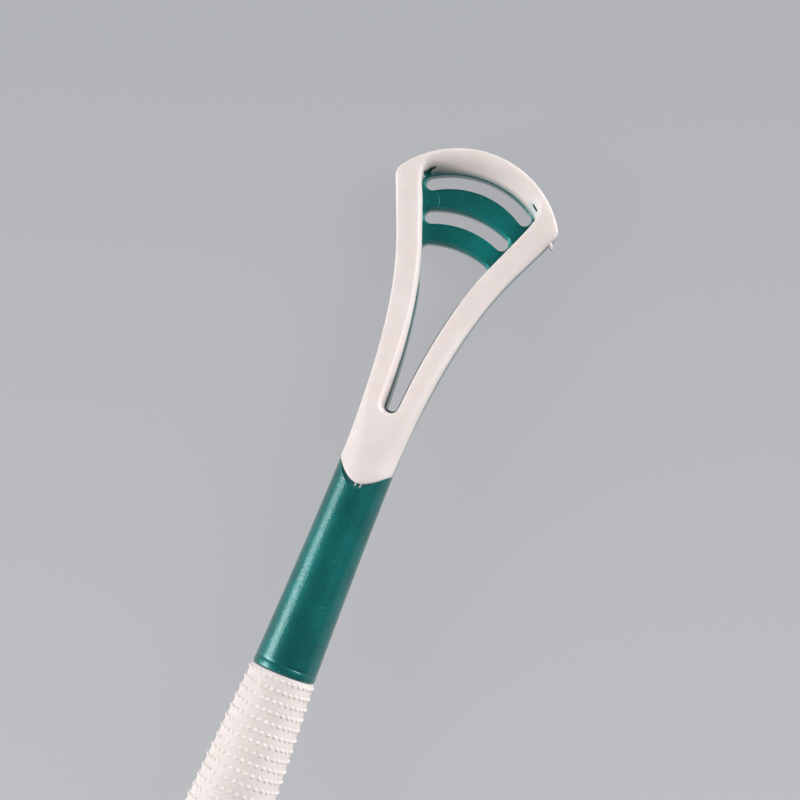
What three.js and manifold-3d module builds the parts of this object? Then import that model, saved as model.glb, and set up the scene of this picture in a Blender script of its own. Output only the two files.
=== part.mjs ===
// Tongue scraper: a rigid core with a soft skin on its head and a soft sleeve on its handle.
// Millimetres. It lies on its back: +Y to the scraping tip, +Z out of the front, X across.
import * as THREE from "three";
import { mergeVertices } from "three/addons/utils/BufferGeometryUtils.js";
import Module from "manifold-3d";

const wasm = await Module();
wasm.setup();

// Stations along the tool, from the collar's edge towards the tip
const borderAt = 41.2; // lowest point of the U where the head skin ends on the neck
const neckTopAt = 48; // the neck is thinnest here
const forkAt = 55.5; // crotch of the open window
const plateEdgeAt = 92.2; // middle of the slotted plate's lower edge
const tipAt = 112.4; // middle of the scraping lip

// Neck and collar
const neckRadius = 5.45;
const collarRadius = 6.6;
const neckFlare = 1.2; // power of the curve from the collar to the thin neck
const neckSlope = 0.01; // how fast the sides open just above the thin neck
const collarLand = 1.7; // plain ring at the collar's end, left by the mould
const collarRound = 0.5;
const collarStep = 0.08;

// Head outline
const tipArcRadius = 20.9;
const cornerHalfWidth = 17.85;
const cornerRound = 2;
const flankSlope = 0.41; // sideways run per millimetre along the straight flank
const flankLength = 13;
const headTilt = THREE.MathUtils.degToRad(5.8); // the head leans back from the handle
const bendAt = 50;
const bendReach = 9; // half the length of the bend

// Head thickness, in front of and behind the plane where skin and core meet
const armFront = 2.9;
const armBack = 3.1;
const armFlatAt = 80; // the round neck has become a flat arm here
const armSquareness = 9; // power of the arm's rounded section, 2 is an ellipse
const lipRise = 0.7; // the scraping lip stands this much above the arms
const lipRiseLength = 7;
const lipEdge = 0.35; // flat width left on the lip's edge
const rampFootAt = 107.5; // middle of the line where the lip's inner ramp meets the plate
const rampFootRadius = 20.9;
const rampBulge = 0.75; // 0 is a straight ramp, 1 ends level at the lip's edge

// Window, slots and plate
const armWidthAtFork = 4.3;
const armWidthAtTop = 5.65;
const armWidening = 1.4; // power of the arms' widening towards the tip
const forkRound = 1.3;
const plateEdgeRadius = 20;
const plateCornerRound = 1.5;
const upperSlotAt = 105.85;
const upperSlotHalfLength = 11.7;
const upperSlotWidth = 2.85;
const upperSlotRadius = 19;
const lowerSlotAt = 98.05;
const lowerSlotHalfLength = 9.1;
const lowerSlotWidth = 2.8;
const lowerSlotRadius = 20;

// Border of the skin on the neck
const borderHalfWidth = 5.95;
const borderRise = 3.3;
const borderPower = 1.78; // 1 is a V, 2 a round U

// Keying rib of the core, buried in the skin
const skinWall = 1.9;
const ribSideWall = 1.6;
const ribEndWall = 3;

// Grip
const gripLength = 68;
const gripTopRadius = 6.6;
const gripRadius = 9;
const gripWidestAt = 45; // below the collar
const gripSwell = 0.58; // share of the widening reached half way to the widest place
const gripTailRadius = 7.2;
const gripTailRound = 4;
const gripTailNarrowing = 2; // how far the round end draws in
const gripWall = 2.1;
const nubColumns = 32;
const nubPitch = 2.18;
const nubTopMargin = 1.1;
const nubFieldLength = 48; // the tail below the nubs is smooth
const nubRadius = 0.42;
const nubHeight = 0.5;

// Tang inside the grip
const keyGrooves = 2;
const keyGrooveWidth = 4;
const keyGrooveDepth = 0.8;
const tailBossRadius = 4.2;
const tailBossLength = 3;
const tailBossProud = 0.3;

const gap = 0.3; // kept between pieces that touch
const overcut = 1; // how far a cutting solid runs past what it cuts
const roundSides = nubColumns; // the sleeve has one flat for each column of nubs
const sectionSides = 24;
const arcSteps = 8; // straight pieces in each arc of an outline
const searchSteps = 30;
const samePlace = 1e-5; // points closer than this are one point

// Solids
function solidFrom(geometry) {
  const bare = geometry.index ? geometry.toNonIndexed() : geometry.clone();
  bare.deleteAttribute("normal");
  bare.deleteAttribute("uv");
  const merged = mergeVertices(bare, samePlace);
  const mesh = new wasm.Mesh({
    numProp: 3,
    vertProperties: merged.attributes.position.array,
    triVerts: new Uint32Array(merged.index.array),
  });
  return new wasm.Manifold(mesh);
}

function geometryFrom(solid) {
  const mesh = solid.getMesh();
  const geometry = new THREE.BufferGeometry();
  geometry.setAttribute("position", new THREE.BufferAttribute(mesh.vertProperties, 3));
  geometry.setIndex(new THREE.BufferAttribute(mesh.triVerts, 1));
  geometry.computeVertexNormals();
  return geometry;
}

// A closed solid through rings of points, all with as many points, capped at both ends
function loft(rings) {
  const sides = rings[0].length;
  const points = rings.flat();
  const triangles = [];
  for (let ring = 0; ring + 1 < rings.length; ring++) {
    for (let side = 0; side < sides; side++) {
      const a = ring * sides + side;
      const b = ring * sides + ((side + 1) % sides);
      triangles.push(a, b, b + sides, a, b + sides, a + sides);
    }
  }
  const last = (rings.length - 1) * sides;
  for (let side = 1; side + 1 < sides; side++) {
    triangles.push(0, side + 1, side);
    triangles.push(last, last + side, last + side + 1);
  }
  const geometry = new THREE.BufferGeometry().setFromPoints(points);
  geometry.setIndex(triangles);
  return solidFrom(geometry);
}

// A solid of revolution about the tool's axis, from [radius, station] pairs
function turned(profile) {
  const points = profile.map(([radius, station]) => new THREE.Vector2(radius, station));
  return solidFrom(new THREE.LatheGeometry(points, roundSides));
}

// The head's own frame is the tool's frame turned back about the bend
const headFrame = new THREE.Matrix4()
  .makeTranslation(0, bendAt, 0)
  .multiply(new THREE.Matrix4().makeRotationX(-headTilt))
  .multiply(new THREE.Matrix4().makeTranslation(0, -bendAt, 0));

function headPrism(shape, low, high) {
  const geometry = new THREE.ExtrudeGeometry(shape, {
    depth: high - low,
    bevelEnabled: false,
    curveSegments: arcSteps,
  });
  geometry.translate(0, 0, low);
  return solidFrom(geometry.applyMatrix4(headFrame));
}

// Outline of the head and neck
const tipArcCentre = tipAt - tipArcRadius;
const cornerAt = tipArcCentre + Math.sqrt(tipArcRadius ** 2 - cornerHalfWidth ** 2);
const flankEnd = {
  x: cornerHalfWidth - flankSlope * flankLength,
  at: cornerAt - flankLength,
};
// Where the flank's line and the thin neck's side line cross
const sideControlAt =
  (flankEnd.x - flankSlope * flankEnd.at - neckRadius + neckSlope * neckTopAt) /
  (neckSlope - flankSlope);
const sideControl = {
  x: neckRadius + neckSlope * (sideControlAt - neckTopAt),
  at: sideControlAt,
};

function ease(from, to, value) {
  return THREE.MathUtils.smoothstep(value, from, to);
}

function mix(from, to, share) {
  return THREE.MathUtils.lerp(from, to, share);
}

// Half the width of the neck and head at a station
function halfWidth(station) {
  if (station >= flankEnd.at) {
    return flankEnd.x + flankSlope * (station - flankEnd.at);
  }
  if (station <= neckTopAt) {
    const share = 1 - Math.max(station, 0) / neckTopAt;
    return mix(neckRadius, collarRadius, share ** neckFlare);
  }
  const a = neckTopAt - 2 * sideControl.at + flankEnd.at;
  const b = sideControl.at - neckTopAt;
  const c = neckTopAt - station;
  const share = (-b + Math.sqrt(b * b - a * c)) / a;
  const near = mix(neckRadius, sideControl.x, share);
  const far = mix(sideControl.x, flankEnd.x, share);
  return mix(near, far, share);
}

function armWidth(station) {
  const share = (station - forkAt) / (cornerAt - forkAt);
  return mix(armWidthAtFork, armWidthAtTop, Math.max(share, 0) ** armWidening);
}

// One ring of the head and neck: rounded in front and behind, square to the bent axis
function section(station, inset) {
  const flat = ease(neckTopAt, armFlatAt, station);
  const round = halfWidth(station);
  const lip = lipRise * ease(cornerAt - lipRiseLength, cornerAt, station);
  const front = mix(round, armFront, flat) + lip - inset;
  const back = mix(round, armBack, flat) - inset;
  const power = 2 / mix(2, armSquareness, flat);
  const along = THREE.MathUtils.clamp((station - bendAt) / bendReach, -1, 1);
  const turn = (headTilt * (along + 1)) / 2;
  const centre = bentAxis(station);
  const ring = [];
  for (let side = 0; side < sectionSides; side++) {
    const angle = (2 * Math.PI * side) / sectionSides;
    const c = Math.cos(angle);
    const s = Math.sin(angle);
    const x = (round - inset) * Math.sign(c) * Math.abs(c) ** power;
    const height = (s > 0 ? front : back) * Math.sign(s) * Math.abs(s) ** power;
    ring.push(
      new THREE.Vector3(
        x,
        centre.y + height * Math.sin(turn),
        centre.z + height * Math.cos(turn),
      ),
    );
  }
  return ring.reverse();
}

// The axis runs straight up the neck, rounds the bend and goes on along the leaning head
function bentAxis(station) {
  const start = new THREE.Vector3(0, bendAt - bendReach, 0);
  const corner = new THREE.Vector3(0, bendAt, 0);
  const end = new THREE.Vector3(0, bendAt + bendReach, 0).applyMatrix4(headFrame);
  if (station <= start.y) {
    return new THREE.Vector3(0, station, 0);
  }
  if (station >= bendAt + bendReach) {
    return new THREE.Vector3(0, station, 0).applyMatrix4(headFrame);
  }
  const share = (station - start.y) / (2 * bendReach);
  return new THREE.QuadraticBezierCurve3(start, corner, end).getPoint(share);
}

// The whole head and neck as one body, before skin and core part
function headBody(from, inset) {
  const neckSteps = 5;
  const bendSteps = 6;
  const headSteps = 10;
  const bendStart = bendAt - bendReach;
  const bendEnd = bendAt + bendReach;
  const past = tipAt + overcut;
  const rings = [];
  for (let step = 0; step < neckSteps; step++) {
    rings.push(section(mix(from, bendStart, step / neckSteps), inset));
  }
  for (let step = 0; step < bendSteps; step++) {
    rings.push(section(mix(bendStart, bendEnd, step / bendSteps), inset));
  }
  for (let step = 0; step <= headSteps; step++) {
    rings.push(section(mix(bendEnd, past, step / headSteps), inset));
  }
  return loft(rings);
}

// Everything below the tip's arc, with its corners rounded into the flanks
function tipTrim() {
  const flankAngle = Math.atan(flankSlope);
  // The corner's circle touches the tip arc from inside and the flank from inside
  const across = Math.cos(flankAngle);
  const rise = Math.sin(flankAngle);
  const flankFoot = halfWidth(tipArcCentre) * across;
  const reach = tipArcRadius - cornerRound;
  const lean = Math.acos((flankFoot - cornerRound) / reach);
  const centreAngle = lean - flankAngle;
  const centre = new THREE.Vector2(
    reach * Math.cos(centreAngle),
    tipArcCentre + reach * Math.sin(centreAngle),
  );
  const touch = new THREE.Vector2(
    centre.x + cornerRound * across,
    centre.y - cornerRound * rise,
  );
  const wide = cornerHalfWidth + overcut;
  const low = forkAt;
  const shape = new THREE.Shape();
  shape.moveTo(-wide, low);
  shape.lineTo(wide, low);
  shape.lineTo(wide, touch.y - overcut);
  shape.lineTo(touch.x, touch.y);
  shape.absarc(centre.x, centre.y, cornerRound, -flankAngle, centreAngle, false);
  shape.absarc(0, tipArcCentre, tipArcRadius, centreAngle, Math.PI - centreAngle, false);
  shape.absarc(-centre.x, centre.y, cornerRound, Math.PI - centreAngle, Math.PI + flankAngle, false);
  shape.lineTo(-wide, touch.y - overcut);
  return shape;
}

// Half the width of the open window at a station, made wider by grow
function windowHalf(station, grow) {
  return halfWidth(station) - armWidth(station) + grow;
}

// The window from its rounded crotch up to a station, where end draws its upper edge
function windowShape(topAt, grow, end) {
  const steps = 10;
  const firstAt = forkAt + forkRound;
  const shape = new THREE.Shape();
  shape.absellipse(0, firstAt, windowHalf(firstAt, grow), forkRound + grow, Math.PI, 2 * Math.PI, false);
  for (let step = 1; step <= steps; step++) {
    const at = mix(firstAt, topAt, step / steps);
    shape.lineTo(windowHalf(at, grow), at);
  }
  if (end) {
    end(shape);
  }
  for (let step = steps; step > 0; step--) {
    const at = mix(firstAt, topAt, step / steps);
    shape.lineTo(-windowHalf(at, grow), at);
  }
  return shape;
}

const headHigh = armFront + neckRadius + lipRise;
const headLow = -neckRadius - armBack;

// The through hole: the window's sides, closed by the plate's curved lower edge with rounded corners
function windowHole() {
  const centreAt = plateEdgeAt - plateEdgeRadius;
  let cornerStation = plateEdgeAt;
  for (let step = 0; step < searchSteps; step++) {
    cornerStation = centreAt + Math.sqrt(plateEdgeRadius ** 2 - windowHalf(cornerStation, 0) ** 2);
  }
  const corner = windowHalf(cornerStation, 0);
  const sideTop = cornerStation - plateCornerRound;
  const from = Math.acos((corner - plateCornerRound) / plateEdgeRadius);
  const shape = windowShape(sideTop, 0, (outline) => {
    const arcX = plateEdgeRadius * Math.cos(from);
    const arcAt = centreAt + plateEdgeRadius * Math.sin(from);
    outline.quadraticCurveTo(corner, cornerStation, arcX, arcAt);
    outline.absarc(0, centreAt, plateEdgeRadius, from, Math.PI - from, false);
    outline.quadraticCurveTo(-corner, cornerStation, -windowHalf(sideTop, 0), sideTop);
  });
  return headPrism(shape, headLow, headHigh);
}

// The hollow in the skin: between the arms, down to the plate, with the lip's ramp as its upper end
function pocket() {
  const above = tipAt + overcut;
  const between = headPrism(windowShape(above, 0), -overcut, headHigh);
  const edgeRadius = tipArcRadius - lipEdge;
  const footCentre = rampFootAt - rampFootRadius;
  const rampSteps = 3;
  const level = (share, height) => {
    const radius = mix(rampFootRadius, edgeRadius, share);
    const centre = mix(footCentre, tipArcCentre, share);
    return circleOnHead(radius, centre, height);
  };
  const levels = [level(0, -2 * overcut)];
  for (let step = 0; step <= rampSteps; step++) {
    const share = step / rampSteps;
    const lift = share + rampBulge * share * (1 - share);
    levels.push(level(share, lift * (armFront + lipRise)));
  }
  levels.push(level(1, headHigh + overcut));
  const belowRamp = new THREE.Shape();
  const wide = cornerHalfWidth;
  belowRamp.moveTo(-wide, forkAt - 2 * overcut);
  belowRamp.lineTo(wide, forkAt - 2 * overcut);
  belowRamp.lineTo(wide, tipArcCentre);
  belowRamp.lineTo(-wide, tipArcCentre);
  const lower = headPrism(belowRamp, -2 * overcut, headHigh + overcut);
  return between.intersect(loft(levels).add(lower));
}

// A ring of points round a place on the middle line of the head, at a height above the plate
function circleOnHead(radius, centre, height) {
  const sides = 2 * roundSides;
  const ring = [];
  for (let side = 0; side < sides; side++) {
    const angle = (2 * Math.PI * side) / sides;
    const x = radius * Math.cos(angle);
    const at = centre + radius * Math.sin(angle);
    ring.push(new THREE.Vector3(x, at, height).applyMatrix4(headFrame));
  }
  return ring;
}

// A curved slot with round ends
function slotHole(middleAt, halfLength, width, radius) {
  const half = width / 2;
  const centreAt = middleAt - radius;
  const turn = Math.asin((halfLength - half) / radius);
  const from = Math.PI / 2 - turn;
  const to = Math.PI / 2 + turn;
  const endX = radius * Math.sin(turn);
  const endAt = centreAt + radius * Math.cos(turn);
  const shape = new THREE.Shape();
  shape.absarc(0, centreAt, radius + half, from, to, false);
  shape.absarc(-endX, endAt, half, to, to + Math.PI, false);
  shape.absarc(0, centreAt, radius - half, to, from, true);
  shape.absarc(endX, endAt, half, from + Math.PI, from + 2 * Math.PI, false);
  return headPrism(shape, headLow, headHigh);
}

// Everything that the skin covers: in front of the meeting plane, from the U on the neck upwards
function skinRegion(low, grow) {
  const wide = cornerHalfWidth + overcut;
  const half = borderHalfWidth + grow;
  const sideAt = borderAt + borderRise - grow;
  const borderSteps = 10;
  const shape = new THREE.Shape();
  shape.moveTo(-wide, sideAt);
  for (let step = 0; step <= borderSteps; step++) {
    const across = mix(-1, 1, step / borderSteps);
    const rise = borderRise * Math.abs(across) ** borderPower;
    shape.lineTo(across * half, borderAt - grow + rise);
  }
  shape.lineTo(wide, sideAt);
  shape.lineTo(wide, tipAt + overcut);
  shape.lineTo(-wide, tipAt + overcut);
  return headPrism(shape, low, headHigh);
}

// The core's rib under the skin, or the groove that takes it when grow is the gap
function keyRib(grow) {
  const sideAt = borderAt + borderRise;
  const inner = headBody(borderAt, skinWall - grow);
  const wide = cornerHalfWidth;
  const reach = new THREE.Shape();
  const rounding = borderHalfWidth - ribSideWall + grow;
  reach.absellipse(0, sideAt + ribSideWall, rounding, borderRise + grow, Math.PI, 2 * Math.PI, false);
  reach.lineTo(wide, sideAt + ribSideWall);
  reach.lineTo(wide, cornerAt - ribEndWall + grow);
  reach.lineTo(-wide, cornerAt - ribEndWall + grow);
  reach.lineTo(-wide, sideAt + ribSideWall);
  const kept = inner.intersect(headPrism(reach, -gap, headHigh));
  const opening = windowShape(tipAt, ribSideWall - grow);
  return kept.subtract(headPrism(opening, -overcut, headHigh));
}

// Grip sleeve, tang and collar
function gripProfile() {
  return new THREE.SplineCurve([
    new THREE.Vector2(gripTopRadius, 0),
    new THREE.Vector2(mix(gripTopRadius, gripRadius, gripSwell), gripWidestAt / 2),
    new THREE.Vector2(gripRadius, gripWidestAt),
    new THREE.Vector2(gripTailRadius, gripLength - gripTailRound),
  ]);
}

// Radius of the smooth sleeve at a depth below the collar
function gripRadiusAt(depth) {
  const curve = gripProfile();
  let low = 0;
  let high = 1;
  for (let step = 0; step < searchSteps; step++) {
    const middle = (low + high) / 2;
    if (curve.getPoint(middle).y < depth) {
      low = middle;
    } else {
      high = middle;
    }
  }
  return curve.getPoint((low + high) / 2).x;
}

// The tang's outline from the collar down, or the sleeve's bore when grow is the gap
function tangProfile(grow) {
  const pitch = (gripLength - tailBossLength) / (keyGrooves + 1);
  const profile = [];
  const add = (depth, sunk) => {
    profile.push([gripRadiusAt(depth) - gripWall - sunk + grow - gap, -depth]);
  };
  add(0, 0);
  for (let groove = 1; groove <= keyGrooves; groove++) {
    const half = keyGrooveWidth / 2 - grow;
    const middle = groove * pitch;
    add(middle - half, 0);
    add(middle - half, keyGrooveDepth);
    add(middle + half, keyGrooveDepth);
    add(middle + half, 0);
  }
  const shoulder = gripLength - tailBossLength + grow;
  add(shoulder, 0);
  profile.push([tailBossRadius + grow, -shoulder]);
  return profile;
}

function makeCore() {
  const material = new THREE.MeshStandardMaterial({ color: 0x1f7f78, roughness: 0.25, metalness: 0.15 });
  const collar = collarRadius - collarStep;
  const handle = turned([
    [0, -gripLength - tailBossProud],
    [tailBossRadius, -gripLength - tailBossProud],
    ...tangProfile(0).reverse(),
    [gripRadiusAt(0) - gripWall - gap, 0],
    [collar - collarRound, 0],
    [collar - collarRound * (1 - Math.SQRT1_2), collarRound * (1 - Math.SQRT1_2)],
    [collar, collarRound],
    [collar, collarLand],
    [collar - collarRound, collarLand],
    [collar - collarRound, collarLand + overcut],
    [0, collarLand + overcut],
  ].filter(differsFromLast));
  const head = headBody(collarLand - collarStep, 0)
    .intersect(trimmedFront())
    .subtract(skinRegion(0, gap))
    .subtract(windowHole());
  const slotted = head
    .subtract(slotHole(upperSlotAt, upperSlotHalfLength, upperSlotWidth, upperSlotRadius))
    .subtract(slotHole(lowerSlotAt, lowerSlotHalfLength, lowerSlotWidth, lowerSlotRadius));
  return named("core", handle.add(slotted).add(keyRib(0)), material);
}

function differsFromLast(point, index, all) {
  const last = all[index - 1];
  return !last || Math.hypot(point[0] - last[0], point[1] - last[1]) > samePlace;
}

// The head's tip outline and everything behind it
function trimmedFront() {
  const tip = headPrism(tipTrim(), headLow - overcut, headHigh + overcut);
  const below = new THREE.Shape();
  const wide = cornerHalfWidth + overcut;
  below.moveTo(-wide, -gripLength);
  below.lineTo(wide, -gripLength);
  below.lineTo(wide, forkAt + overcut);
  below.lineTo(-wide, forkAt + overcut);
  const depth = headHigh + gripLength;
  return tip.add(headPrism(below, -depth, depth));
}

function makeHeadSkin() {
  const material = new THREE.MeshStandardMaterial({ color: 0xebe1df, roughness: 0.7, metalness: 0 });
  const skin = headBody(0, 0)
    .intersect(trimmedFront())
    .intersect(skinRegion(gap, 0))
    .subtract(windowHole())
    .subtract(pocket())
    .subtract(keyRib(gap));
  return named("head_skin", skin, material);
}

// A ring of points round the axis, one in each column of nubs, turned by a share of a column
function ringAt(radius, depth, share = 0) {
  const ring = [];
  for (let column = 0; column < nubColumns; column++) {
    const angle = (2 * Math.PI * (column + share)) / nubColumns;
    ring.push(new THREE.Vector3(radius * Math.sin(angle), -depth, radius * Math.cos(angle)));
  }
  return ring;
}

// The sleeve's surface as triangles between rings of points
function sleeveSurface() {
  const corners = [];
  const triangle = (a, b, c) => corners.push(a, b, c);
  const band = (upper, lower) => {
    for (let column = 0; column < nubColumns; column++) {
      const next = (column + 1) % nubColumns;
      triangle(upper[column], lower[column], lower[next]);
      triangle(upper[column], lower[next], upper[next]);
    }
  };
  // One row of nubs: each is a point on a four-cornered foot, with flat sleeve between the feet
  const nubRow = (depth) => {
    const reach = (nubRadius / gripRadiusAt(depth)) * (nubColumns / (2 * Math.PI));
    const row = {
      top: ringAt(gripRadiusAt(depth - nubRadius), depth - nubRadius),
      left: ringAt(gripRadiusAt(depth), depth, -reach),
      right: ringAt(gripRadiusAt(depth), depth, reach),
      bottom: ringAt(gripRadiusAt(depth + nubRadius), depth + nubRadius),
    };
    const peak = ringAt(gripRadiusAt(depth) + nubHeight, depth);
    for (let column = 0; column < nubColumns; column++) {
      const next = (column + 1) % nubColumns;
      triangle(row.top[column], row.left[column], peak[column]);
      triangle(row.left[column], row.bottom[column], peak[column]);
      triangle(row.bottom[column], row.right[column], peak[column]);
      triangle(row.right[column], row.top[column], peak[column]);
      triangle(row.top[column], row.right[column], row.top[next]);
      triangle(row.right[column], row.left[next], row.top[next]);
      triangle(row.right[column], row.bottom[column], row.left[next]);
      triangle(row.bottom[column], row.bottom[next], row.left[next]);
    }
    return row;
  };

  const mouth = ringAt(gripRadiusAt(gap), gap);
  let last = mouth;
  const rows = Math.floor((nubFieldLength - nubTopMargin) / nubPitch) + 1;
  for (let index = 0; index < rows; index++) {
    const row = nubRow(nubTopMargin + index * nubPitch);
    band(last, row.top);
    last = row.bottom;
  }
  const tailRings = [];
  const roundStart = gripLength - gripTailRound;
  const roundSteps = 4;
  for (let step = 0; step <= roundSteps; step++) {
    const angle = (step / roundSteps) * (Math.PI / 2);
    const sunk = gripTailNarrowing * (1 - Math.cos(angle));
    tailRings.push(ringAt(gripTailRadius - sunk, roundStart + gripTailRound * Math.sin(angle)));
  }
  const boreRings = tangProfile(gap).map(([radius, at]) => ringAt(radius, Math.max(gap, -at)));
  const foot = ringAt(tailBossRadius + gap, gripLength);
  for (const ring of [...tailRings, foot, ...boreRings.reverse(), mouth]) {
    band(last, ring);
    last = ring;
  }
  return new THREE.BufferGeometry().setFromPoints(corners);
}

function makeGrip() {
  const material = new THREE.MeshStandardMaterial({ color: 0xebe1df, roughness: 0.75, metalness: 0 });
  return named("grip", solidFrom(sleeveSurface()), material);
}

function named(name, solid, material) {
  const mesh = new THREE.Mesh(geometryFrom(solid), material);
  mesh.name = name;
  return mesh;
}

// The origin is under the middle of the tool, on the surface that it lies on
const tool = new THREE.Group();
tool.add(makeCore(), makeHeadSkin(), makeGrip());
const box = new THREE.Box3().setFromObject(tool);
tool.position.set(0, -(box.min.y + box.max.y) / 2, -box.min.z);

export default new THREE.Group().add(tool);
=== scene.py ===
import math

import bmesh
import bpy
from mathutils import Matrix, Vector


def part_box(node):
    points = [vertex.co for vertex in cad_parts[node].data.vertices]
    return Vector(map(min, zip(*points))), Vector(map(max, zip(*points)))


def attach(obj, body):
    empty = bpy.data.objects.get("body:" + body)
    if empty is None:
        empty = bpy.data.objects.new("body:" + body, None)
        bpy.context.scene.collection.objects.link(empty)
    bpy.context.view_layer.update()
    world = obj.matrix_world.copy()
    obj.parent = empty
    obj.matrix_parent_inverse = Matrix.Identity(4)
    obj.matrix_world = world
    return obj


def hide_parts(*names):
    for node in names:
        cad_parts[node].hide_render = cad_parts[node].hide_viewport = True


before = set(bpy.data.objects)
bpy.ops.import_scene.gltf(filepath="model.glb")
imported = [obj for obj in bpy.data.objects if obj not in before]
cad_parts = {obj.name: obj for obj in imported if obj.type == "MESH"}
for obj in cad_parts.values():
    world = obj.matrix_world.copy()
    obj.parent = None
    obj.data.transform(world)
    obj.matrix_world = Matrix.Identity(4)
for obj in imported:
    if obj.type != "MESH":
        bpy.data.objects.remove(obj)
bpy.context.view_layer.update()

# Core, body: one rigid injection moulding in pearl-pigmented plastic. It is the collar, the round neck
# and the leaning fork that carries the slotted plate. Its tang runs through the soft sleeve to the butt,
# where a flat disc shows. The soft parts are moulded onto it afterwards.
# Sizes are in millimetres. Stations, whose names end in at, run from the collar's edge towards the tip.
mm = 0.001
joint_gap = 0.3
grip_low, grip_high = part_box("grip")
axis_height = (grip_low.z + grip_high.z) / 2 / mm
collar_place = grip_high.y / mm + joint_gap

butt_at = -68.3
tang_foot_at = -65
boss_radius = 4.2
boss_edge = 0.2
tang_radius = 4
collar_radius = 6.6
collar_land = 1.7
collar_middle_at = 1
collar_fall = 0.04
collar_round = 0.45
witness_depth = 0.09
witness_width = 0.16
witness_lead = 0.03
neck_foot_at = 2.5
neck_top_at = 45.8
neck_radius = 5.63
neck_flare = 1.57
neck_slope = -0.006
tip_at = 112.4
tip_spare = 1
tip_arc_radius = 20.9
corner_half_width = 17.85
flank_slope = 0.437
flank_length = 10.9
head_tilt = math.radians(5.8)
bend_at = 50
bend_reach = 9
arm_front = 2.9
arm_back = 3.1
arm_flat_at = 80
arm_squareness = 9
lip_rise = 0.7
lip_rise_length = 7
section_sides = 144
round_steps = 6
neck_steps = 30
bend_steps = 30
head_steps = 44
merge_distance = 0.001 * mm

arc_centre = tip_at - tip_arc_radius
corner_at = arc_centre + math.sqrt(tip_arc_radius ** 2 - corner_half_width ** 2)
flank_foot_at = corner_at - flank_length
flank_foot = corner_half_width - flank_slope * flank_length
side_control_at = (
    flank_foot - flank_slope * flank_foot_at - neck_radius + neck_slope * neck_top_at
) / (neck_slope - flank_slope)
side_control = neck_radius + neck_slope * (side_control_at - neck_top_at)


def mix(a, b, share):
    return a + (b - a) * share


def ease(start, end, value):
    share = min(max((value - start) / (end - start), 0), 1)
    return share * share * (3 - 2 * share)


def in_frame(x, station, height):
    """A place in the shared frame: station runs from the collar's edge to the tip, height from the axis."""
    return Vector((x, collar_place + station, axis_height + height)) * mm


def half_width(station):
    """Half the width: the neck narrows from the collar, then a curve opens into the straight flank."""
    if station >= flank_foot_at:
        return flank_foot + flank_slope * (station - flank_foot_at)
    if station <= neck_top_at:
        share = 1 - max(station, 0) / neck_top_at
        return mix(neck_radius, collar_radius, share ** neck_flare)
    a = neck_top_at - 2 * side_control_at + flank_foot_at
    b = side_control_at - neck_top_at
    share = (-b + math.sqrt(b * b - a * (neck_top_at - station))) / a
    near = mix(neck_radius, side_control, share)
    return mix(near, mix(side_control, flank_foot, share), share)


def body_ring(station, proud=0):
    """One ring of the neck and head: round on the neck, a flat bar on the head, square to the bent axis."""
    flat = ease(neck_top_at, arm_flat_at, station)
    wide = half_width(station) + proud
    lip = lip_rise * ease(corner_at - lip_rise_length, corner_at, station)
    front = mix(wide, arm_front, flat) + lip
    back = mix(wide, arm_back, flat)
    power = 2 / mix(2, arm_squareness, flat)
    # The axis runs straight up the neck, rounds the bend and goes on along the leaning head.
    along = min(max((station - bend_at) / bend_reach, -1), 1)
    turn = head_tilt * (along + 1) / 2
    share = (along + 1) / 2
    start = bend_at - bend_reach
    if along < 1:
        first = start + min(station - start, 0)
        centre_at = first + 2 * share * (1 - share) * bend_reach + share * share * bend_reach * (
            1 + math.cos(head_tilt))
        centre_height = -share * share * bend_reach * math.sin(head_tilt)
    else:
        centre_at = bend_at + (station - bend_at) * math.cos(head_tilt)
        centre_height = -(station - bend_at) * math.sin(head_tilt)
    ring = []
    for side in range(section_sides):
        angle = 2 * math.pi * (side + 0.5) / section_sides
        c = math.cos(angle)
        s = math.sin(angle)
        x = wide * math.copysign(abs(c) ** power, c)
        height = (front if s > 0 else back) * math.copysign(abs(s) ** power, s)
        ring.append(in_frame(
            x,
            centre_at + height * math.sin(turn),
            centre_height + height * math.cos(turn),
        ))
    return ring


def loft(name, rings, closed=False):
    """A disc or a bare circle whose rim is set to the first ring and extruded from ring to ring."""
    bpy.ops.object.select_all(action="DESELECT")
    fill = "NOTHING" if closed else "NGON"
    bpy.ops.mesh.primitive_circle_add(vertices=len(rings[0]), radius=mm, fill_type=fill)
    solid = bpy.context.object
    solid.name = name
    bpy.ops.object.mode_set(mode="EDIT")
    mesh = bmesh.from_edit_mesh(solid.data)
    place = mesh.verts.layers.int.new("place")
    for index, vertex in enumerate(mesh.verts):
        vertex[place] = index
        vertex.co = rings[0][index]
    bmesh.update_edit_mesh(solid.data)
    for ring in rings[1:]:
        bpy.ops.mesh.extrude_region_move()
        mesh = bmesh.from_edit_mesh(solid.data)
        place = mesh.verts.layers.int["place"]
        for vertex in mesh.verts:
            if vertex.select:
                vertex.co = ring[vertex[place]]
        bmesh.update_edit_mesh(solid.data)
    bpy.ops.mesh.select_all(action="SELECT")
    if closed:
        bpy.ops.mesh.remove_doubles(threshold=merge_distance)
    bpy.ops.mesh.normals_make_consistent(inside=False)
    bpy.ops.object.mode_set(mode="OBJECT")
    solid.data.attributes.remove(solid.data.attributes["place"])
    return solid


def round_ring(radius, station, sides):
    ring = []
    for side in range(sides):
        angle = 2 * math.pi * (side + 0.5) / sides
        ring.append(in_frame(radius * math.cos(angle), station, radius * math.sin(angle)))
    return ring


def steps(start, end, count):
    """Even steps from the start, without the end."""
    return [mix(start, end, index / count) for index in range(count)]


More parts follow.
